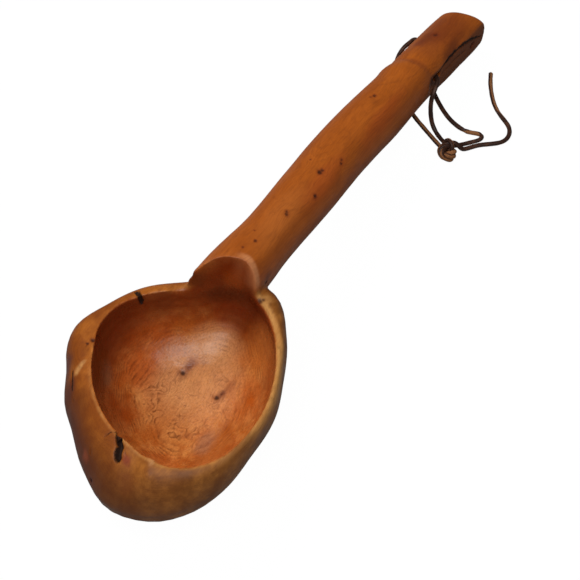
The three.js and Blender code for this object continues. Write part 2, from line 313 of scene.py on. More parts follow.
# The pocket of bark in the front of the rim
POCKET = [
    ((-61.4, 5, 67.6), (-69.1, -0.2, 66.4), 1.6, 4.5),
    ((-69.1, -0.2, 66.4), (-74.6, -2.2, 63.6), 1.8, 4.2),
]

# Ridges and valleys of the burl: from, to, reach and height, in mm
SWELLINGS = [
    ((-67, -20.5, 68), (-74.4, -24, 65), 4.5, 0.9),
    ((-74.4, -24, 65), (-82, -28, 56), 5.5, 0.8),
    ((-73, -12, 66), (-84, -15, 57), 6.5, -1.0),
    ((-64, -31, 66), (-72, -42, 58), 8, -0.5),
    ((-28, 56, 62), (-50, 46, 58), 5, 0.6),
    ((322, -16.5, 33), (346, -18, 19.5), 2.2, 0.5),
]

# Patches of another colour, painted shade and painted highlights among them: middle, reach, colour and
# strength
PATCHES = [
    # a paler floor to the hollow, partly its own colour and partly a painted highlight of the broad gloss
    ((13, 3, 15), (54, 44, 19), (212, 150, 96), 0.62),
    ((21, 10.8, 16.5), (9, 5, 4), (136, 60, 24), 0.45),
    ((18, 11.7, 16), (6.5, 3.0, 3), (100, 42, 22), 0.45),
    ((19, -18.6, 17), (10, 5, 4), (142, 64, 26), 0.42),
    ((13.6, -16.4, 16), (6.5, 3, 3), (82, 34, 18), 0.6),
    # painted light on the hollow's right wall, where the key lamp falls
    ((44, -26, 36), (26, 22, 22), (222, 130, 56), 0.45),
    ((-24, -4, 17), (26, 32, 14), (168, 96, 42), 0.4),
    ((-32, 26, 26), (18, 20, 18), (146, 58, 10), 0.75),
    ((-20, -34, 22), (36, 15, 11), (158, 80, 28), 0.6),
    ((-37, 6, 21), (14, 18, 10), (156, 70, 16), 0.5),
    # painted shade on the hollow's far wall
    ((58, 6, 48), (16, 30, 11), (80, 25, 5), 0.8),
    # painted shade on the hollow's far left wall
    ((40, 44, 44), (18, 14, 16), (84, 27, 6), 0.5),
    # painted shade on the scoop's left part
    ((50, 24, 66), (12, 10, 12), (92, 34, 6), 0.7),
    ((61, 3, 66), (9, 12, 15), (156, 70, 18), 0.6),
    ((66.5, -16.5, 58), (8, 6, 6), (214, 152, 84), 0.7),
    # painted highlight where the overhead lamp's gloss lies on the hollow's floor
    ((38, 4, 22), (20, 22, 14), (222, 158, 104), 0.6),
    ((0, 34, 22), (20, 16, 12), (190, 84, 20), 0.55),
    ((-22, 45, 37), (16, 9, 9), (128, 88, 64), 0.5),
    # painted reflection of the key lamp, a greyish patch on the hollow's front right wall
    ((-23, -27, 18), (16, 8, 7), (150, 104, 76), 0.55),
    # painted shade on the hollow's left wall
    ((-2, 48, 42), (26, 8, 10), (96, 34, 8), 0.4),
    ((-36, 60, 56), (15, 6, 8), (84, 40, 30), 0.8),
    ((-48, 49, 56), (16, 7, 9), (84, 38, 24), 0.8),
    ((-37, 51, 63), (9, 2.5, 4), (204, 150, 90), 0.6),
    # painted shadow in the groove right of the scoop's crest
    ((76, -12.5, 64), (7, 3.5, 9), (92, 40, 15), 0.6),
    ((112, 2, 72), (52, 14, 14), (190, 110, 48), 0.35),
    ((-73, -8, 64), (6, 5, 5), (128, 46, 26), 0.75),
    ((-82, -14, 58), (11, 9, 9), (108, 50, 18), 0.5),
    # painted highlight on the rim's front corner
    ((-67, -21, 68), (5, 3.5, 3), (204, 146, 92), 0.6),
    ((-78.2, 19.7, 49.6), (5, 5, 7), (138, 66, 38), 0.8),
    ((315, 1, 39), (18, 10, 7), (104, 44, 26), 0.5),
    ((303, 7, 40), (6, 6, 5), (112, 44, 28), 0.5),
    ((283, 0, 45), (4, 20, 7), (124, 58, 24), 0.45),
    ((150, -4, 62), (44, 9, 12), (168, 74, 28), 0.4),
    ((228, -8, 52), (48, 9, 12), (162, 70, 24), 0.45),
    ((326, -2, 33), (34, 22, 18), (116, 52, 18), 0.75),
    ((309, 7, 40), (14, 9, 7), (92, 38, 18), 0.6),
    # painted shade along the top edge of the tip's groove
    ((311, -13, 36), (18, 6, 6), (86, 36, 16), 0.6),
    # painted shade round the mouth of the thong's right hole
    ((285.5, -15, 32), (8, 4.5, 9), (50, 24, 15), 0.95),
    ((-53.5, 39, 61), (13, 12, 9), (98, 46, 16), 0.5),
    ((-31, -59, 64), (18, 8, 6), (118, 68, 26), 0.5),
    # painted shade on the hollow's left wall
    ((-30, 46, 44), (30, 14, 16), (84, 32, 8), 0.4),
    ((300, 0, 42), (14, 18, 8), (120, 58, 28), 0.35),
]

# Colours, as 8-bit screen colours, dark and light where a texture mixes the two
HANDLE = [(150, 74, 17), (168, 87, 24)]
BROWN = [(134, 68, 16), (164, 92, 28)]
OLIVE = [(122, 70, 22), (162, 102, 42)]
INSIDE = [(180, 94, 32), (210, 134, 68)]
# Pale sapwood of the rim, also laid along the front and left inner lip as a painted highlight
SAPWOOD_AND_LIP_SHEEN = [(172, 110, 50), (202, 145, 80)]
# Painted shade on the bowl's front and left outside, darker towards the table
LOW_SIDE_SHADE = (90, 40, 11)
OLIVE_FIGURE = (108, 62, 20)
INSIDE_FIGURE = (148, 66, 18)
CLOUD = (178, 66, 10)
# Painted shade on the hollow's far and left walls and on the scoop
WALL_SHADE = (100, 25, 2)
# Painted highlight along the scoop's right crest
CREST_SHEEN = (222, 154, 104)
SPLIT_WOOD = (112, 62, 32)
RING = (84, 34, 10)
FIBRE = (90, 38, 12)
PORE = (118, 50, 16)
KNOT_HALO = (100, 34, 14)
KNOT_CORE = (42, 16, 9)
CRACK = (20, 9, 6)
LEATHER_SKIN = [(50, 29, 20), (76, 46, 31)]
LEATHER_FLESH = [(120, 76, 44), (150, 100, 60)]

# Textures: the lumps' size in mm, or one size per axis, then detail and roughness
STREAKS = ((80, 9, 9), 3, 0.6)
MOTTLE = (17, 3, 0.6)
CLOUDS = (30, 2)
FIGURE = ((9, 5, 5), 3, 0.65)
FIBRES = ((16, 0.7, 0.7), 3, 0.7)
PORES = (1.3, 1)
PATCHY = (13, 2)
POLISH = (12, 2)
BROKEN = ((5, 1.6, 1.6), 2)
LEATHER_GRAIN = (0.6, 3, 0.6)
LEATHER_WEAR = (5, 2)

# How the growth layers bow across the wood, wander and swirl, the last two in mm
LAYER_BOW = 0.0016
LAYER_WANDER = 2.6
LAYER_SWIRL = 5.0

# How dark the growth lines are, and how much darker or paler by region
LINES = 0.24
LINES_IN_HOLLOW = 0.16
LINES_IN_RINGED = 0.36
LINES_IN_WALL_SHADE = -0.22

# Gloss and relief, the relief in metres
WOOD_ROUGHNESS = (0.50, 0.58)
HOLLOW_POLISH = -0.24
DULL = 0.75
WOOD_SPECULAR = 0.25
WOOD_RELIEF = 0.0002
LEATHER_ROUGHNESS = (0.48, 0.8)
LEATHER_SPECULAR = 0.3
LEATHER_RELIEF = 0.0001


def make_camera():
    data = bpy.data.cameras.new("camera")
    data.lens = CAMERA_LENS
    data.sensor_width = CAMERA_SENSOR
    camera = bpy.data.objects.new("camera", data)
    bpy.context.scene.collection.objects.link(camera)
    camera.location = CAMERA_AT
    level = math.cos(CAMERA_DOWN)
    look = Vector((level * math.cos(CAMERA_TURN), level * math.sin(CAMERA_TURN), -math.sin(CAMERA_DOWN)))
    camera.rotation_mode = "QUATERNION"
    camera.rotation_quaternion = look.to_track_quat("-Z", "Y")
    bpy.context.scene.camera = camera


# Lines


def line_length(points):
    return float(np.linalg.norm(np.diff(points, axis=0), axis=1).sum())


def resample(points, step):
    """The same line, with its points an even step apart."""
    gaps = np.linalg.norm(np.diff(points, axis=0), axis=1)
    along = np.concatenate([[0], np.cumsum(gaps)])
    wanted = np.linspace(0, along[-1], max(2, round(along[-1] / step) + 1))
    return np.stack([np.interp(wanted, along, points[:, k]) for k in range(3)], axis=1)


def smooth_route(route):
    """A Catmull-Rom curve through a route's points."""
    p = np.array(route) + BORE_AT
    p = np.vstack([2 * p[0] - p[1], p, 2 * p[-1] - p[-2]])
    t = np.linspace(0, 1, ROUTE_PARTS, endpoint=False)[:, None]
    line = []
    for i in range(1, len(p) - 2):
        a, b, c, d = p[i - 1:i + 3]
        bend = 2 * a - 5 * b + 4 * c - d
        twist = 3 * b - a - 3 * c + d
        line.append(0.5 * (2 * b + (c - a) * t + bend * t**2 + twist * t**3))
    return resample(np.vstack([*line, p[-2][None]]), LINE_STEP)


def outside_knot(line):
    """The stretch of a line that stays clear of the knot."""
    away = np.linalg.norm((line - KNOT_AT)[:, :2], axis=1)
    return line[away > KNOT_REACH]


# Knot


def wound_on_ring(quarter):
    """An overhand knot as a lace wound on a ring. The second strand lies a quarter turn round the tube."""
    turned = np.linspace(0, RING_TURN, RING_POINTS)
    around = RING_START - turned
    tube = 1.5 * turned + math.pi + quarter * math.pi / 2
    out = RING_RADIUS + RING_TUBE * np.cos(tube)
    ring = np.stack([out * np.cos(around), out * np.sin(around), RING_TUBE * np.sin(tube)], axis=1)
    return ring + KNOT_AT


def push_apart(chains):
    """Moves the free points of two lines until no stretch lies inside another."""
    neighbours = math.ceil(1.6 * LACE / LINE_STEP)
    points = np.vstack(chains)
    which = np.repeat(np.arange(len(chains)), [len(c) for c in chains])
    place = np.concatenate([np.arange(len(c)) for c in chains])
    last = np.repeat([len(c) - 1 for c in chains], [len(c) for c in chains])
    free = (place >= HELD) & (place <= last - HELD)
    apart = points[:, None] - points[None]
    far = np.linalg.norm(apart, axis=2) + 1e-12
    beside = (which[:, None] == which[None]) & (np.abs(place[:, None] - place[None]) <= neighbours)
    close = (far < KNOT_GAP) & ~beside
    push = np.where(close, (KNOT_GAP - far) / far / 2, 0)
    move = (apart * push[:, :, None]).sum(1) / np.maximum(1, close.sum(1))[:, None]
    points = points + np.where(free[:, None], move, 0)
    return np.split(points, np.cumsum([len(c) for c in chains])[:-1])


def tighten(starts, loose, ends):
    """Draws two loose lines tight between strands and tails that stay where they lie."""
    chains = [np.vstack([a[-HELD:], b, c[:HELD]]) for a, b, c in zip(starts, loose, ends)]
    for step in range(KNOT_ROUNDS):
        for chain in chains:
            middle = chain[HELD:-HELD]
            sides = chain[HELD - 1:-HELD - 1] + chain[HELD + 1:len(chain) - HELD + 1]
            chain[HELD:-HELD] = middle + KNOT_TENSION * (sides - 2 * middle)
        if step % 10 == 0:
            chains = [
                np.vstack([c[:HELD], resample(c[HELD - 1:1 - HELD], LINE_STEP)[1:-1], c[-HELD:]])
                for c in chains
            ]
        for _ in range(PUSHES):
            chains = push_apart(chains)
        for chain in chains:
            chain[:, 2] = np.maximum(chain[:, 2], LIE)
    return [chain[HELD:-HELD] for chain in chains]


def thong_lines():
    """The two halves of the thong, each from the middle of its hole to its cut end."""
    starts = [outside_knot(smooth_route(route)) for route in (RIGHT_STRAND, LEFT_STRAND)]
    ends = [outside_knot(smooth_route(route)) for route in (LONG_TAIL, SHORT_TAIL)]
    knots = tighten(starts, [wound_on_ring(0), wound_on_ring(1)], ends)
    lines = []
    for start, knot, end in zip(starts, knots, ends):
        line = np.vstack([start, knot, end])
        for _ in range(EASING_PASSES):
            line[1:-1] += 0.25 * (line[:-2] + line[2:] - 2 * line[1:-1])
        lines.append(resample(line, TUBE_STEP))
    return lines


# Lace


def lace_section():
    """A rounded square, a little wider than it is thick, as (across, up) in diameters."""
    section = []
    for i in range(LACE_CORNERS):
        angle = 2 * math.pi * i / LACE_CORNERS
        c, s = math.cos(angle), math.sin(angle)
        across = math.copysign(abs(c) ** (2 / LACE_FULLNESS), c)
        up = math.copysign(abs(s) ** (2 / LACE_FULLNESS), s)
        section.append((across / 2, LACE_THICKNESS * up / 2))
    return section


def lace_sides(tangent):
    """Level directions across a line, carried on where it climbs too steeply for one."""
    sides = []
    side = np.array([0.0, 1.0, 0.0])
    for direction in tangent:
        level = np.cross((0, 0, 1), direction)
        steady = side - direction * (side @ direction)
        share = min(1.0, np.linalg.norm(level)) ** 3 * 0.2
        side = steady / np.linalg.norm(steady) + share * level
        side /= np.linalg.norm(side)
        sides.append(side)
    return np.array(sides)


def lace_points(line, turns):
    """The lace's points ring by ring, and how much of its flesh side each one shows.

    turns gives how far the section is turned, by share of the length.
    """
    section = lace_section()
    tangent = np.gradient(line, axis=0)
    tangent /= np.linalg.norm(tangent, axis=1)[:, None]
    points, flesh = [], []
    for i, (point, direction, side) in enumerate(zip(line, tangent, lace_sides(tangent))):
        side = side - direction * (side @ direction)
        side /= np.linalg.norm(side)
        up_side = np.cross(direction, side)
        share = i / (len(line) - 1)
        turn = math.radians(np.interp(share, *zip(*turns)))
        turn += LACE_TWIST * noise.noise(Vector((share * 40, len(line), 0)))
        size = LACE * (1 + LACE_UNEVEN * noise.noise(Vector((share * 70, 5, len(line)))))
        c, s = math.cos(turn), math.sin(turn)
        for across, up in section:
            points.append(point + size * (side * (across * c - up * s) + up_side * (across * s + up * c)))
            flesh.append(max(0.0, -up * FLESH_CONTRAST))
    return points, flesh


def tube_faces(rings, corners):
    """Faces between rings of points, with a cap at each end."""
    faces = []
    for i in range(rings - 1):
        for j in range(corners):
            a, b = i * corners + j, i * corners + (j + 1) % corners
            faces.append((a, b, b + corners, a + corners))
    faces.append(tuple(reversed(range(corners))))
    faces.append(tuple(range((rings - 1) * corners, rings * corners)))
    return faces


def make_lace(name, line, turns):
    points, flesh = lace_points(line, turns)
    mesh = bpy.data.meshes.new(name)
    mesh.from_pydata([tuple(point) for point in points], [], tube_faces(len(line), LACE_CORNERS))
    store(mesh, "flesh", flesh)
    mesh.shade_smooth()
    piece = bpy.data.objects.new(name, mesh)
    bpy.context.scene.collection.objects.link(piece)
    return piece


def store(mesh, name, values):
    attribute = mesh.attributes.new(name, "FLOAT", "POINT")
    attribute.data.foreach_set("value", np.asarray(values, np.float32))


def make_thong(material):
    right_line, left_line = thong_lines()
    right = make_lace("thong_right", right_line, RIGHT_TURNS)
    left = make_lace("thong_left", left_line, LEFT_TURNS)
    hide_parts("thong_right_strand", "thong_long_tail", "thong_knot")
    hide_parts("thong_left_strand", "thong_short_tail", "thong_knot")
    for piece, line, mouth, length in (
        (right, right_line, RIGHT_MOUTH, RIGHT_LENGTH),
        (left, left_line, LEFT_MOUTH, LEFT_LENGTH),
    ):
        piece.data.materials.append(material)
        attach(piece, "root")
        print(piece.name, "is", round(line_length(line), 4), "m long")


# Wood skin


def remeshed(node):
    """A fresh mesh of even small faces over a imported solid."""
    piece = bpy.data.objects.new("ladle_wood", node.data.copy())
    bpy.context.scene.collection.objects.link(piece)
    skin = piece.modifiers.new("skin", "REMESH")
    skin.mode = "VOXEL"
    skin.voxel_size = VOXEL
    graph = bpy.context.evaluated_depsgraph_get()
    mesh = bpy.data.meshes.new_from_object(piece.evaluated_get(graph))
    piece.modifiers.clear()
    piece.data = mesh
    mesh.materials.clear()
    return piece


class Skin:
    """A mesh's points and edges as arrays, in mm, for smoothing and carving."""

    def __init__(self, mesh):
        self.mesh = mesh
        self.points = np.empty(len(mesh.vertices) * 3, np.float32)
        mesh.vertices.foreach_get("co", self.points)
        self.points = self.points.reshape(-1, 3).astype(float) / MM
        edges = np.empty(len(mesh.edges) * 2, np.int32)
        mesh.edges.foreach_get("vertices", edges)
        self.a, self.b = edges.reshape(-1, 2).T
        self.degree = np.bincount(np.concatenate([self.a, self.b]), minlength=len(self.points))

    def average(self, values):
        """Each point's mean over its neighbours."""
        total = np.empty_like(values)
        for k in range(values.shape[1]):
            column = values[:, k]
            total[:, k] = np.bincount(self.a, column[self.b], len(values))
            total[:, k] += np.bincount(self.b, column[self.a], len(values))
        return total / self.degree[:, None]

    def smooth(self, passes, freedom):
        """Smooths without shrinking. freedom is 0 where a point stays and 1 where it is free."""
        for _ in range(passes):
            for pull in (0.5, -0.52):
                self.points += pull * freedom[:, None] * (self.average(self.points) - self.points)

    def normals(self):
        self.write()
        found = np.empty(len(self.points) * 3, np.float32)
        self.mesh.vertices.foreach_get("normal", found)
        return found.reshape(-1, 3).astype(float)

    def soften(self, passes, freedom):
        """Rounds edges off, as sanding does."""
        for _ in range(passes):
            self.points += 0.5 * freedom[:, None] * (self.average(self.points) - self.points)

    def spread(self, values, passes, freedom):
        """Values with their edges blurred where freedom is more than 0."""
        values = values.copy()
        for _ in range(passes):
            values += freedom * (self.average(values[:, None])[:, 0] - values)
        return values

    def push(self, normals, distance):
        self.points += normals * distance[:, None]

    def write(self):
        self.mesh.vertices.foreach_set("co", (self.points * MM).astype(np.float32).ravel())
        self.mesh.update()

    def keep(self, name, values):
        store(self.mesh, name, values)


def ramp(value, low, high):
    """0 below low and 1 above high, with a smooth step between. low may be above high."""
    share = np.clip((value - low) / (high - low), 0, 1)
    return share * share * (3 - 2 * share)


def lumps(points, size, seed):
    """Smooth noise from about -1 to 1. size is a lump's size in mm, or one size per axis."""
    shift = Vector((seed * 17.3, seed * 5.1, seed * 9.7))
    return np.array([noise.noise(Vector(p) + shift) for p in points / np.array(size)])


def opening_at(bearing):
    bearings, reaches = zip(*OPENING)
    return np.interp(bearing, bearings, reaches)


class Places:
    """Where each point lies on the ladle, for its shape and its colours."""

    def __init__(self, points, normals):
        self.x, self.y, self.z = points.T
        self.points = points
        self.normals = normals
        self.bearing = np.degrees(np.arctan2(self.y, self.x)) % 360
        self.radius = np.hypot(self.x, self.y)
        opening = opening_at(self.bearing)
        rim = RIM_HEIGHT - RIM_FALL * opening * np.cos(np.radians(self.bearing))
        self.above = self.z - rim
        self.out = self.radius - opening - HOLLOW_LEAN * np.maximum(0, self.above) - self.flare()
        self.edge = np.hypot(self.out, self.above)
        self.hollow = self.find_hollow()
        self.at_scoop = ramp(self.x, *SCOOP_FROM)
        self.scoop = self.hollow * ramp(self.above, -2, 6) * self.at_scoop
        past_root = ramp(self.x, ROOT_X + 2, ROOT_X + 16)
        self.handle = np.maximum(past_root, ramp(self.above, 2, 8) * self.at_scoop)
        self.facet = self.find_facet()

    def flare(self):
        """How far the scoop opens towards the handle, more and more towards its top."""
        height = np.clip(self.above / SCOOP_TOP, 0, 1.2)
        left = ramp(self.bearing, 180, 90) * ramp(self.bearing, 28, 12)
        return SCOOP_FLARE * height**2 * np.maximum(left, ramp(self.bearing, 330, 340))

    def find_hollow(self):
        """1 on the bowl's inside and on the scoop that runs up into the handle's root."""
        inward = -(self.x * self.normals[:, 0] + self.y * self.normals[:, 1]) / np.maximum(self.radius, 1)
        floor = ramp(self.normals[:, 2], 0.3, 0.6) * ramp(self.above, -2, -6)
        facing = np.maximum(floor, ramp(inward, 0.25, 0.6))
        return facing * ramp(self.out, 2.5, 0.5) * ramp(self.z, 8, 12)

    def find_facet(self):
        """1 on the flat that is split off the right of the tip."""
        on_plane = ramp(np.abs(self.y - facet_side(self.x)), 1.4, 0.6)
        return on_plane * ramp(-self.normals[:, 1], 0.75, 0.95) * ramp(self.x, FACET_X, FACET_X + 4)

    def near_bearing(self, middle, reach):
        """1 at one bearing round the bowl, falling to 0 a number of degrees away."""
        away = np.abs((self.bearing - middle + 180) % 360 - 180)
        return ramp(away, reach, reach * 0.45)


def open_scoop(skin):
    """Cuts the scoop back into the handle's root and spreads its left foot."""
    places = Places(skin.points, skin.normals())
    inside = np.minimum(places.out, 0) * ramp(places.above, 0, 4) * places.at_scoop
    outward = skin.points[:, :2] / places.radius[:, None]
    skin.points[:, :2] -= outward * inside[:, None]
    skin.points += FOOT_PUSH * near(skin.points, FOOT_AT, 10, 2)[:, None]


def near(points, place, reach, core):
    """1 within core mm of a place and 0 beyond reach mm."""
    return ramp(np.linalg.norm(points - place, axis=1), reach, core)


def facet_side(x):
    """Y of the flat that is split off the right of the tip."""
    return FACET_Y - FACET_SLOPE * (x - FACET_X)


def segment_distance(points, start, end):
    start, end = np.array(start, float), np.array(end, float)
    along = end - start
    share = np.clip((points - start) @ along / (along @ along), 0, 1)
    return np.linalg.norm(points - start - share[:, None] * along, axis=1)


def carved_depth(points):
    """How deep the knots, cracks and bark pocket cut at each point, and how far they darken it."""
    knots, cracks, dark = np.zeros((3, len(points)))
    for middle, reach, _, pit in KNOTS:
        knots = np.maximum(knots, pit * near(points, middle, reach * 1.1, reach * 0.3))
    ragged = 1 + 0.5 * lumps(points, 3.5, 6)
    for start, end, half, cut in CRACKS + POCKET:
        away = segment_distance(points, start, end)
        cracks = np.maximum(cracks, cut * ramp(away, half * ragged * 1.3, half * ragged * 0.5))
        if cut > 1:
            dark = np.maximum(dark, ramp(away, half * ragged * 1.4, half * ragged * 1.1))
    return np.maximum(knots, cracks), dark


def tip_shoulder(places):
    """The soft step where the handle narrows to its tip, in mm out from the surface."""
    band = SHOULDER_X - SHOULDER_CURVE * (places.y - SHOULDER_SIDE) ** 2
    along = places.x - band
    crease = CREASE_DEPTH * np.exp(-(along / CREASE_REACH) ** 2)
    swell = SWELL_HEIGHT * np.exp(-((along + SWELL_BEFORE) / SWELL_REACH) ** 2)
    height = swell - crease - SHOULDER_STEP * ramp(along, -2, 3)
    return height * ramp(places.z, 26, 34) * ramp(places.x, 262, 270)


def tip_lip(places):
    """1 where the wood rounds over from the tip's top to the groove along its split side."""
    groove = np.interp(places.x, *zip(*GROOVE_HEIGHTS))
    by_facet = ramp(np.abs(places.y - facet_side(places.x)), 7, 3)
    along = ramp(places.x, 308, 324) * ramp(places.x, 353, 345)
    return by_facet * ramp(places.z, groove, groove + 3) * along


def swellings(points):
    """Ridges and valleys that follow the burl, in mm out from the surface."""
    total = np.zeros(len(points))
    for start, end, reach, height in SWELLINGS:
        total += height * np.exp(-(segment_distance(points, start, end) / reach) ** 2)
    return total


def uneven(points, rows):
    return sum(height * lumps(points, size, seed) for size, height, seed in rows)


def hand_carving(places):
    """The slow waves and small tool marks that a knife leaves, in mm out from the surface."""
    points = places.points
    waves = (1 - HANDLE_CALM * places.handle) * uneven(points, [WAVES]) + uneven(points, [RIPPLES])
    tools = uneven(points, TOOL_MARKS)
    split = uneven(points, SPLINTERS)
    calm = 1 - HOLLOW_CALM * places.hollow
    grown = swellings(points) + tip_shoulder(places)
    return waves * calm + tools * places.hollow + split * places.facet + grown


def smooth_skin(skin):
    """Takes the solid's small flats off, and keeps the rim and the tip crisp."""
    skin.smooth(ROUND_PASSES, np.ones(len(skin.points)))
    places = Places(skin.points, skin.normals())
    on_rim = (1 - places.scoop) * (1 - places.handle)
    crisp = np.maximum(ramp(places.edge, 4, 1.5) * on_rim, TIP_CRISPNESS * ramp(places.x, 284, 292))
    skin.smooth(SMOOTH_PASSES, 1 - RIM_CRISPNESS * crisp)


def soften_edges(skin):
    """Rounds the scoop's arch and its left foot, and the lip of the tip's split side."""
    places = Places(skin.points, skin.normals())
    arch = ramp(np.abs(places.out), 6, 3) * ramp(places.above, -4, 2) * ramp(places.x, 38, 44)
    foot = near(skin.points, FOOT_LOW, 13, 6)
    skin.soften(ARCH_PASSES, arch)
    skin.soften(FOOT_PASSES, foot)
    skin.points += FOOT_SPREAD * near(skin.points, FOOT_LOW, 8, 2)[:, None]
    skin.soften(LIP_PASSES, tip_lip(places))


def make_ladle(node, material):
    piece = remeshed(node)
    skin = Skin(piece.data)
    smooth_skin(skin)
    open_scoop(skin)
    soften_edges(skin)
    places = Places(skin.points, skin.normals())
    skin.push(places.normals, hand_carving(places))
    depth, dark = carved_depth(skin.points)
    skin.push(skin.normals(), -depth)
    skin.points[:, 2] = np.maximum(skin.points[:, 2], 0)
    skin.write()
    keep_regions(skin, places, dark)
    piece.data.shade_smooth()
    piece.data.materials.append(material)
    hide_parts("ladle")
    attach(piece, "root")
    print("The wood's skin has", len(skin.points), "points")


def keep_regions(skin, places, dark):
    """Stores the regions that the wood's colours are mixed by, painted shade and painted highlights among
    them.
    """
    at_arch = ramp(places.above, 0, 6) * places.at_scoop
    hollow = skin.spread(skin.spread(places.hollow, 2, 0.6), SPREAD_PASSES, at_arch)
    scoop = skin.spread(places.scoop, SPREAD_PASSES, at_arch)
    band = ramp(places.out, 6.5, 2.8) * ramp(places.out, -2.5, -0.5) * ramp(places.above, -9, -4)
    # the inner edge of the front and left lip takes the pale sapwood colour as a painted highlight
    lip = ramp(np.abs(places.out - 0.9), 2.0, 0.3) * ramp(places.above, -9, -4)
    sapwood_and_lip_sheen = np.maximum(band * places.near_bearing(315, 100), 0.55 * lip * places.near_bearing(190, 75))
    rim = sapwood_and_lip_sheen * (1 - places.handle) * (1 - hollow)
    # painted shade: the hollow's far and left walls, which face away from the lamps, and the scoop's face
    far_side = ramp(-places.normals[:, 0], -0.1, 0.9)
    left_side = ramp(-places.normals[:, 1], 0.2, 0.9)
    deep = hollow * np.maximum(far_side, left_side) * ramp(places.radius, 37, 57)
    # painted highlight along the right crest of the scoop's arch
    crest_sheen = ramp(np.abs(places.out - 2.5), 3.6, 0.8) * ramp(places.above, 3, 12)
    skin.keep("hollow", hollow)
    skin.keep("rim", rim)
    skin.keep("handle", places.handle)
    skin.keep("olive", places.near_bearing(275, 115))
    skin.keep("deep", np.maximum(deep, 0.45 * scoop))
    # painted shade: the outside of the front and left, darker towards the table
    skin.keep("low_side_shade", places.near_bearing(150, 90) * ramp(places.above, 2, -18) * (1 - hollow))
    skin.keep("burl", hollow * ramp(places.radius, 38, 16))
    skin.keep("ringed", hollow * near(skin.points, RINGED_AT, 48, 22))
    skin.keep("crest_sheen", crest_sheen * places.near_bearing(353, 15))
    skin.keep("facet", places.facet)
    skin.keep("crack", dark)


# Materials


def colour(tint):
    """An 8-bit screen colour as Blender's linear RGBA."""
    def linear(value):
        value /= 255
        return value / 12.92 if value <= 0.04045 else ((value + 0.055) / 1.055) ** 2.4
    return (*map(linear, tint), 1)


class Shader:
    """Short ways to add nodes to one material. Values may be numbers or other nodes' outputs."""

    def __init__(self, name):
        self.material = bpy.data.materials.new(name)
        self.material.use_nodes = True
        self.tree = self.material.node_tree
        self.surface = self.tree.nodes["Principled BSDF"]

    def put(self, value, socket):
        if isinstance(value, bpy.types.NodeSocket):
            self.tree.links.new(value, socket)
        else:
            socket.default_value = value

    def place(self):
        """The object's own coordinates, in mm."""
        coordinates = self.tree.nodes.new("ShaderNodeTexCoord")
        return self.scaled(coordinates.outputs["Object"], 1 / MM)

    def scaled(self, vector, size):
        node = self.tree.nodes.new("ShaderNodeVectorMath")
        node.operation = "SCALE"
        self.put(vector, node.inputs[0])
        self.put(size, node.inputs["Scale"])
        return node.outputs[0]

    def vector(self, operation, a, b):
        node = self.tree.nodes.new("ShaderNodeVectorMath")
        node.operation = operation
        self.put(a, node.inputs[0])
        self.put(b, node.inputs[1])
        return node.outputs["Value" if operation in ("LENGTH", "DISTANCE", "DOT_PRODUCT") else "Vector"]

    def math(self, operation, a, b=0.0, c=0.0):
        node = self.tree.nodes.new("ShaderNodeMath")
        node.operation = operation
        for value, socket in zip((a, b, c), node.inputs):
            self.put(value, socket)
        return node.outputs[0]

    def ramp(self, value, low, high, start=0.0, end=1.0):
        """A smooth step from start at low to end at high."""
        node = self.tree.nodes.new("ShaderNodeMapRange")
        node.interpolation_type = "SMOOTHSTEP"
        if low > high:
            low, high, start, end = high, low, end, start
        for socket, number in zip(node.inputs, (value, low, high, start, end)):
            self.put(number, socket)
        return node.outputs[0]

    def noise(self, vector, size, detail=2.0, rough=0.5, output="Fac"):
        """Noise whose lumps are about size mm, or one size per axis."""
        sizes = size if isinstance(size, tuple) else (size, size, size)
        node = self.tree.nodes.new("ShaderNodeTexNoise")
        self.put(self.vector("DIVIDE", vector, sizes), node.inputs["Vector"])
        node.inputs["Scale"].default_value = 1
        node.inputs["Detail"].default_value = detail
        node.inputs["Roughness"].default_value = rough
        return node.outputs[output]

    def mask(self, name):
        node = self.tree.nodes.new("ShaderNodeAttribute")
        node.attribute_name = name
        return node.outputs["Fac"]

    def mix(self, share, a, b):
        node = self.tree.nodes.new("ShaderNodeMix")
        node.data_type = "RGBA"
        self.put(share, node.inputs[0])
        self.put(a, node.inputs[6])
        self.put(b, node.inputs[7])
        return node.outputs[2]

    def between(self, tints, share):
        """A mix of two named colours."""
        return self.mix(share, colour(tints[0]), colour(tints[1]))

    def tinted(self, base, tint, share, strength=1.0):
        """The base with a colour laid over it, by share times strength."""
        if strength != 1:
            share = self.math("MULTIPLY", share, strength)
        return self.mix(share, base, colour(tint))

    def set_surface(self, base, roughness, specular):
        """Gives the surface its colour and gloss."""
        self.put(base, self.surface.inputs["Base Color"])
        self.put(roughness, self.surface.inputs["Roughness"])
        self.put(specular, self.surface.inputs["Specular IOR Level"])

    def segment(self, vector, start, end):
        """Distance from a straight stretch between two points."""
        a, b = Vector(start), Vector(end)
        along = b - a
        from_start = self.vector("SUBTRACT", vector, tuple(a))
        share = self.vector("DOT_PRODUCT", from_start, tuple(along / along.length_squared))
        share = self.math("MINIMUM", self.math("MAXIMUM", share, 0.0), 1.0)
        nearest = self.vector("ADD", self.scaled(tuple(along), share), tuple(a))
        return self.vector("DISTANCE", vector, nearest)

    def bump(self, height, distance, strength):
        node = self.tree.nodes.new("ShaderNodeBump")
        node.inputs["Strength"].default_value = strength
        node.inputs["Distance"].default_value = distance
        self.put(height, node.inputs["Height"])
        self.tree.links.new(node.outputs[0], self.surface.inputs["Normal"])


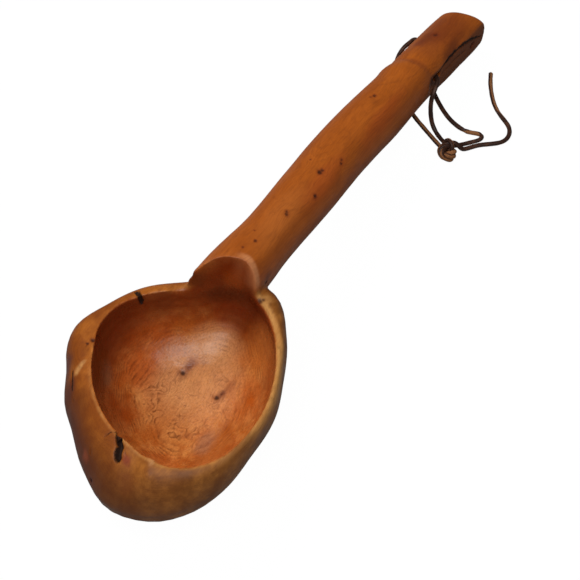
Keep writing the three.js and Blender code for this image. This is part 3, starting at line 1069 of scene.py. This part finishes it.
def grain_place(shader, place):
    """Coordinates that follow the grain, which falls with the handle, and wander a little."""
    parts = shader.tree.nodes.new("ShaderNodeSeparateXYZ")
    shader.put(place, parts.inputs[0])
    past_root = shader.math("MAXIMUM", shader.math("SUBTRACT", parts.outputs[0], GRAIN_START_X), 0.0)
    lift = shader.math("MULTIPLY", past_root, GRAIN_FALL)
    joined = shader.tree.nodes.new("ShaderNodeCombineXYZ")
    shader.put(parts.outputs[0], joined.inputs[0])
    shader.put(parts.outputs[1], joined.inputs[1])
    shader.put(shader.math("ADD", parts.outputs[2], lift), joined.inputs[2])
    wander = shader.noise(place, 34, 1, output="Color")
    wander = shader.vector("SUBTRACT", wander, (0.5, 0.5, 0.5))
    return shader.vector("ADD", joined.outputs[0], shader.vector("MULTIPLY", wander, (10, 9, 9)))


def wandering(shader, place, lump, reach):
    """Coordinates that wander by up to reach mm, for soft uneven edges."""
    wander = shader.vector("SUBTRACT", shader.noise(place, lump, 2, output="Color"), (0.5, 0.5, 0.5))
    return shader.vector("ADD", place, shader.scaled(wander, 2 * reach))


def growth_lines(shader, grain):
    """Thin lines where the surface cuts the growth layers, which lie nearly level."""
    parts = shader.tree.nodes.new("ShaderNodeSeparateXYZ")
    shader.put(grain, parts.inputs[0])
    sideways = shader.math("MULTIPLY", parts.outputs[1], parts.outputs[1])
    height = shader.math("MULTIPLY_ADD", sideways, LAYER_BOW, parts.outputs[2])
    height = shader.math("MULTIPLY_ADD", shader.noise(grain, 12, 1), LAYER_WANDER, height)
    swirl = shader.math("MULTIPLY", shader.noise(grain, 5.2, 0), shader.mask("burl"))
    height = shader.math("MULTIPLY_ADD", swirl, LAYER_SWIRL, height)
    phase = shader.math("FRACT", shader.math("DIVIDE", height, LAYER))
    line = shader.math("MULTIPLY", shader.ramp(phase, 0.3, 0.9), shader.ramp(phase, 1.0, 0.92))
    broken = shader.ramp(shader.noise(grain, *BROKEN), 0.36, 0.62, 0.35, 1.0)
    return shader.math("MULTIPLY", line, broken)


def wood_marks(shader, place):
    """Masks of the knots' dark cores, of their halos, and of the cracks."""
    ragged = wandering(shader, place, 1.8, 0.7)
    fine = wandering(shader, place, 1.5, 0.3)
    cores, halos, cracks = 0.0, 0.0, shader.mask("crack")
    for middle, reach, halo, pit in KNOTS:
        away = shader.vector("DISTANCE", ragged, middle)
        strength = min(1, 0.4 + 1.1 * pit)
        cores = shader.math("MAXIMUM", cores, shader.ramp(away, reach * 1.25, reach * 0.4, 0, strength))
        halos = shader.math("MAXIMUM", halos, shader.ramp(away, halo, reach * 0.8))
    for start, end, half, cut in CRACKS:
        away = shader.segment(fine, start, end)
        strength = min(1, 0.3 + 0.8 * cut)
        cracks = shader.math("MAXIMUM", cracks, shader.ramp(away, half * 1.15, half * 0.4, 0, strength))
    return cores, halos, cracks


def wood_ground(shader, grain):
    """The wood's colour by region, before its patches, lines and marks."""
    streaks = shader.ramp(shader.noise(grain, *STREAKS), 0.32, 0.68)
    mottle = shader.ramp(shader.noise(grain, *MOTTLE), 0.34, 0.66)
    clouds = shader.ramp(shader.noise(grain, *CLOUDS), 0.4, 0.62)
    figure = shader.ramp(shader.noise(grain, *FIGURE), 0.44, 0.64, 0.0, 0.45)
    # painted shade on the lower front and left outside
    brown = shader.tinted(shader.between(BROWN, mottle), LOW_SIDE_SHADE, shader.mask("low_side_shade"))
    olive = shader.tinted(shader.between(OLIVE, mottle), OLIVE_FIGURE, figure)
    inside = shader.tinted(shader.between(INSIDE, mottle), CLOUD, clouds, 0.4)
    inside = shader.tinted(inside, INSIDE_FIGURE, figure)
    base = shader.mix(shader.mask("olive"), brown, olive)
    base = shader.mix(shader.mask("handle"), base, shader.between(HANDLE, streaks))
    base = shader.mix(shader.mask("hollow"), base, inside)
    # pale sapwood on the rim, and a painted highlight along the front and left inner lip
    base = shader.mix(shader.mask("rim"), base, shader.between(SAPWOOD_AND_LIP_SHEEN, streaks))
    # painted shade on the hollow's far and left walls and on the scoop
    base = shader.tinted(base, WALL_SHADE, shader.mask("deep"), 0.92)
    # painted highlight on the scoop's right crest
    base = shader.tinted(base, CREST_SHEEN, shader.mask("crest_sheen"), 0.52)
    return shader.tinted(base, SPLIT_WOOD, shader.mask("facet"), 0.8)


def with_patches(shader, place, base):
    soft = wandering(shader, place, 9, 3.5)
    for middle, reaches, tint, strength in PATCHES:
        away = shader.vector("DIVIDE", shader.vector("SUBTRACT", soft, middle), reaches)
        share = shader.ramp(shader.vector("LENGTH", away, (0, 0, 0)), 0.25, 1.0, strength, 0.0)
        base = shader.tinted(base, tint, share)
    return base


def with_lines(shader, grain, base, lines, fibre):
    """The growth lines, darkest where the hollow is most ringed, and the fibre."""
    strength = shader.math("MULTIPLY_ADD", shader.mask("hollow"), LINES_IN_HOLLOW, LINES)
    strength = shader.math("MULTIPLY_ADD", shader.mask("ringed"), LINES_IN_RINGED, strength)
    strength = shader.math("MULTIPLY_ADD", shader.mask("deep"), LINES_IN_WALL_SHADE, strength)
    patchy = shader.ramp(shader.noise(grain, *PATCHY), 0.42, 0.62, 0.1, 1.0)
    share = shader.math("MULTIPLY", shader.math("MULTIPLY", lines, strength), patchy)
    base = shader.tinted(base, RING, share)
    return shader.tinted(base, FIBRE, shader.ramp(fibre, 0.38, 0.72, 0.0, 0.3))


def wood_material():
    shader = Shader("burl_wood")
    place = shader.place()
    grain = grain_place(shader, place)
    lines = growth_lines(shader, grain)
    fibre = shader.noise(grain, *FIBRES)
    pores = shader.math("MULTIPLY", shader.noise(place, *PORES), shader.mask("hollow"))
    cores, halos, cracks = wood_marks(shader, place)
    base = with_patches(shader, place, wood_ground(shader, grain))
    base = with_lines(shader, grain, base, lines, fibre)
    base = shader.tinted(base, PORE, shader.ramp(pores, 0.48, 0.7, 0.0, 0.24))
    base = shader.tinted(base, KNOT_HALO, halos, 0.4)
    base = shader.tinted(base, KNOT_CORE, cores, 0.9)
    base = shader.tinted(base, CRACK, cracks, 0.95)

    rough = shader.ramp(shader.noise(grain, *POLISH), 0.35, 0.65, *WOOD_ROUGHNESS)
    rough = shader.math("MULTIPLY_ADD", shader.mask("hollow"), HOLLOW_POLISH, rough)
    dull = shader.math("MAXIMUM", shader.math("MAXIMUM", cracks, cores), shader.mask("facet"))
    rough = shader.math("MAXIMUM", rough, shader.math("MULTIPLY", dull, DULL))
    shader.set_surface(base, rough, WOOD_SPECULAR)
    height = shader.math("MULTIPLY_ADD", lines, -0.12, shader.math("MULTIPLY", fibre, 0.6))
    height = shader.math("MULTIPLY_ADD", pores, 1.2, height)
    shader.bump(height, WOOD_RELIEF, 0.5)
    return shader.material


def leather_material():
    """Dark on the skin side and paler on the flesh side, which shows where the lace is turned."""
    shader = Shader("leather")
    flesh = shader.mask("flesh")
    place = shader.place()
    grain = shader.noise(place, *LEATHER_GRAIN)
    wear = shader.ramp(shader.noise(place, *LEATHER_WEAR), 0.45, 0.7)
    raw = shader.between(LEATHER_FLESH, shader.ramp(grain, 0.35, 0.65))
    base = shader.mix(shader.ramp(flesh, 0.25, 0.7), shader.between(LEATHER_SKIN, wear), raw)
    rough = shader.ramp(flesh, 0.3, 0.9, *LEATHER_ROUGHNESS)
    shader.set_surface(base, rough, LEATHER_SPECULAR)
    shader.bump(grain, LEATHER_RELIEF, 0.3)
    return shader.material


# Studio


def make_floor():
    reach = FLOOR_REACH
    corners = [(-reach, -reach, 0), (reach, -reach, 0), (reach, reach, 0), (-reach, reach, 0)]
    mesh = bpy.data.meshes.new("floor")
    mesh.from_pydata(corners, [], [(0, 1, 2, 3)])
    floor = bpy.data.objects.new("floor", mesh)
    bpy.context.scene.collection.objects.link(floor)
    floor.location.z = -FLOOR_DROP
    shader = Shader("floor_paper")
    rays = shader.tree.nodes.new("ShaderNodeLightPath")
    mirrored = shader.math("MAXIMUM", rays.outputs["Is Glossy Ray"], rays.outputs["Is Transmission Ray"])
    mirrored = shader.math("MULTIPLY", mirrored, FLOOR_MIRRORED)
    shown = shader.math("MULTIPLY", rays.outputs["Is Camera Ray"], FLOOR_SHOWN)
    shader.set_surface(FLOOR_COLOUR, FLOOR_ROUGHNESS, 0)
    white = shader.tree.nodes.new("ShaderNodeEmission")
    white.inputs["Strength"].default_value = FLOOR_WHITE
    mix = shader.tree.nodes.new("ShaderNodeMixShader")
    shader.put(shader.math("MAXIMUM", shown, mirrored), mix.inputs["Fac"])
    shader.put(shader.surface.outputs[0], mix.inputs[1])
    shader.put(white.outputs[0], mix.inputs[2])
    shader.put(mix.outputs[0], shader.tree.nodes["Material Output"].inputs["Surface"])
    mesh.materials.append(shader.material)


def make_lamp(name, place, size, watts, glossy):
    data = bpy.data.lights.new(name, "AREA")
    data.shape = "DISK"
    data.size = size
    data.energy = watts
    lamp = bpy.data.objects.new(name, data)
    bpy.context.scene.collection.objects.link(lamp)
    lamp.visible_glossy = glossy
    lamp.location = place
    lamp.rotation_mode = "QUATERNION"
    lamp.rotation_quaternion = (Vector(LAMP_AIM) - Vector(place)).to_track_quat("-Z", "Y")


def make_world():
    world = bpy.data.worlds.new("studio")
    bpy.context.scene.world = world
    world.use_nodes = True
    tree = world.node_tree
    background = tree.nodes["Background"]
    background.inputs["Color"].default_value = (1, 1, 1, 1)
    rays = tree.nodes.new("ShaderNodeLightPath")
    strength = tree.nodes.new("ShaderNodeMapRange")
    strength.inputs["To Min"].default_value = WORLD_FILL
    strength.inputs["To Max"].default_value = 1
    tree.links.new(rays.outputs["Is Camera Ray"], strength.inputs["Value"])
    tree.links.new(strength.outputs[0], background.inputs["Strength"])


def main():
    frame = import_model()
    bpy.context.scene.view_settings.view_transform = "Standard"
    make_camera()
    make_thong(leather_material())
    make_ladle(frame["nodes"]["ladle"], wood_material())
    make_floor()
    for lamp in LAMPS:
        make_lamp(*lamp)
    make_world()


main()
